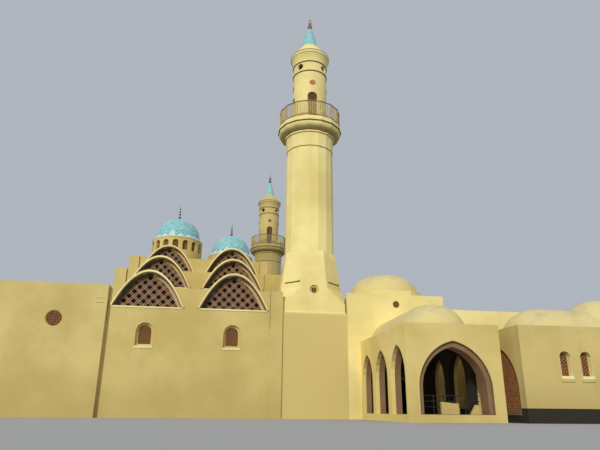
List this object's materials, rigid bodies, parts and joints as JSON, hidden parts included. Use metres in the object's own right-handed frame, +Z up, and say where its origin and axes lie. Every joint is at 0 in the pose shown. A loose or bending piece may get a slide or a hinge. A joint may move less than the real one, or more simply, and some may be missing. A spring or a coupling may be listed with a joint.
{
  "type": "mosque building, 1:10 scale model",
  "caption": "Stuccoed mosque with stepped lattice arches, tiled domes, tall minarets, an arched entrance porch and low domed wings, as a 1:10 scale model.",
  "frame": {"origin": "middle of the whole footprint, on the ground", "axes": "+Z up, -Y towards the entrance front, +X to the right along that front"},
  "size_m": [7.5, 7.7, 5.36],
  "materials": {
    "stucco": "painted stucco, matt, weathered with streaks",
    "cream": "painted concrete shell, matt",
    "tile": "glazed turquoise tiles",
    "glass": "dark glass behind lattice",
    "concrete": "bare concrete, matt"
  },
  "bodies": {
    "root": {"front_first_tier": "stucco", "back_first_tier": "stucco", "front_second_tier": "stucco", "back_second_tier": "stucco", "front_third_tier": "stucco", "back_third_tier": "stucco", "front_first_glass": "glass", "back_first_glass": "glass", "front_second_glass": "glass", "back_second_glass": "glass", "front_third_glass": "glass", "back_third_glass": "glass", "hall_left_side_wall": "stucco", "hall_right_side_wall": "stucco", "dome_block": "stucco", "west_drum": "stucco", "west_dome": "tile", "middle_drum": "stucco", "middle_dome": "tile", "east_drum": "stucco", "east_dome": "tile", "east_dome_block": "stucco", "front_left_wing_wall": "stucco", "back_left_wing_wall": "stucco", "west_wall": "stucco", "east_wall": "stucco", "front_range_wall": "stucco", "back_range_wall": "stucco", "front_vestibule_dome": "cream", "back_vestibule_dome": "cream", "west_roof": "concrete", "east_roof": "concrete", "ground_floor": "concrete", "front_minaret_base": "stucco", "back_minaret_base": "stucco", "front_minaret_shaft": "stucco", "back_minaret_shaft": "stucco", "front_minaret_balcony": "stucco", "back_minaret_balcony": "stucco", "front_minaret_lantern": "stucco", "back_minaret_lantern": "stucco", "front_minaret_spire": "tile", "back_minaret_spire": "tile", "porch_front_wall": "stucco", "porch_left_wall": "stucco", "porch_right_wall": "stucco", "porch_roof": "concrete", "porch_vault": "cream", "porch_floor": "concrete", "side_wing_front_wall": "stucco", "side_wing_left_wall": "stucco", "side_wing_right_wall": "stucco", "side_wing_roof": "concrete", "side_wing_left_vault": "cream", "side_wing_right_vault": "cream", "side_wing_dome": "cream", "side_wing_floor": "concrete"}
  },
  "joints": []
}
